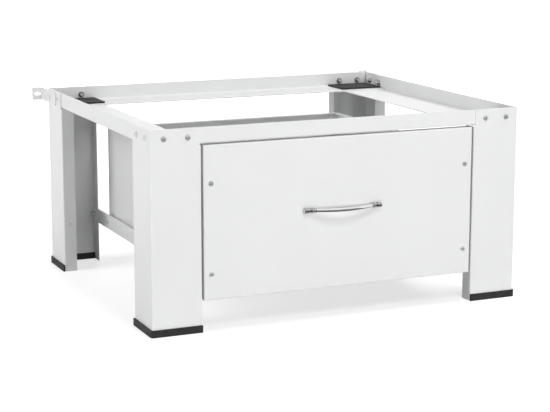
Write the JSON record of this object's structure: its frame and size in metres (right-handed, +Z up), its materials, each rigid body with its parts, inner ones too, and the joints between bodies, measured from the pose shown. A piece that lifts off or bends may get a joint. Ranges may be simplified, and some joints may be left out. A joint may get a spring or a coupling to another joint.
{
  "type": "washer pedestal with drawer",
  "caption": "White sheet-metal pedestal for a washing machine: four folded legs, a railed tray, wall brackets and a drawer with a bow handle.",
  "frame": {"origin": "on the floor, in the middle of the bounding box, which runs from the handle's front to the wall brackets' back", "axes": "+X to the right when facing the drawer, +Y to the wall (the drawer opens towards -Y), +Z up"},
  "size_m": [0.668, 0.598, 0.315],
  "materials": {
    "white_paint": "smooth white powder coat",
    "trim_rubber": "satin black edge trim",
    "pad_rubber": "matt black pad",
    "zinc": "bright zinc plate",
    "ball_steel": "polished bearing steel",
    "handle_chrome": "polished chrome plate"
  },
  "bodies": {
    "frame": {"leg_front_left": "white_paint", "leg_front_right": "white_paint", "leg_rear_left": "white_paint", "leg_rear_right": "white_paint", "foot_trim_front_left": "trim_rubber", "foot_trim_front_right": "trim_rubber", "foot_trim_rear_left": "trim_rubber", "foot_trim_rear_right": "trim_rubber", "rail_front": "white_paint", "rail_rear": "white_paint", "rail_left": "white_paint", "rail_right": "white_paint", "corner_pad_front_left": "pad_rubber", "corner_pad_front_right": "pad_rubber", "corner_pad_rear_left": "pad_rubber", "corner_pad_rear_right": "pad_rubber", "wall_bracket_left": "white_paint", "wall_bracket_right": "white_paint", "frame_screws": "zinc", "frame_nuts": "zinc", "runner_left": "white_paint", "runner_right": "white_paint", "runner_bolts": "zinc", "runner_nuts": "zinc", "slide_outer_left": "zinc", "slide_outer_right": "zinc", "slide_screws": "zinc"},
    "drawer": {"slide_inner_left": "zinc", "slide_inner_right": "zinc", "slide_inner_screws": "zinc", "drawer_front": "white_paint", "drawer_side_left": "white_paint", "drawer_side_right": "white_paint", "drawer_back": "white_paint", "drawer_bottom": "white_paint", "drawer_screws": "zinc", "drawer_nuts": "zinc", "handle": "handle_chrome", "handle_screws": "zinc"},
    "ball_cage_left": {"ball_cage_left": "zinc", "slide_balls_left": "ball_steel"},
    "ball_cage_right": {"ball_cage_right": "zinc", "slide_balls_right": "ball_steel"}
  },
  "joints": [
    {"name": "drawer_slide", "type": "slide", "parent": "frame", "child": "drawer", "axis": [0, -1, 0], "range_m": [0, 0.35]},
    {"name": "cage_slide_left", "type": "slide", "parent": "frame", "child": "ball_cage_left", "axis": [0, -1, 0], "range_m": [0, 0.175]},
    {"name": "cage_slide_right", "type": "slide", "parent": "frame", "child": "ball_cage_right", "axis": [0, -1, 0], "range_m": [0, 0.175]}
  ],
  "couplings": [
    {"joint": "cage_slide_left", "follows": "drawer_slide", "ratio": 0.5},
    {"joint": "cage_slide_right", "follows": "drawer_slide", "ratio": 0.5}
  ]
}
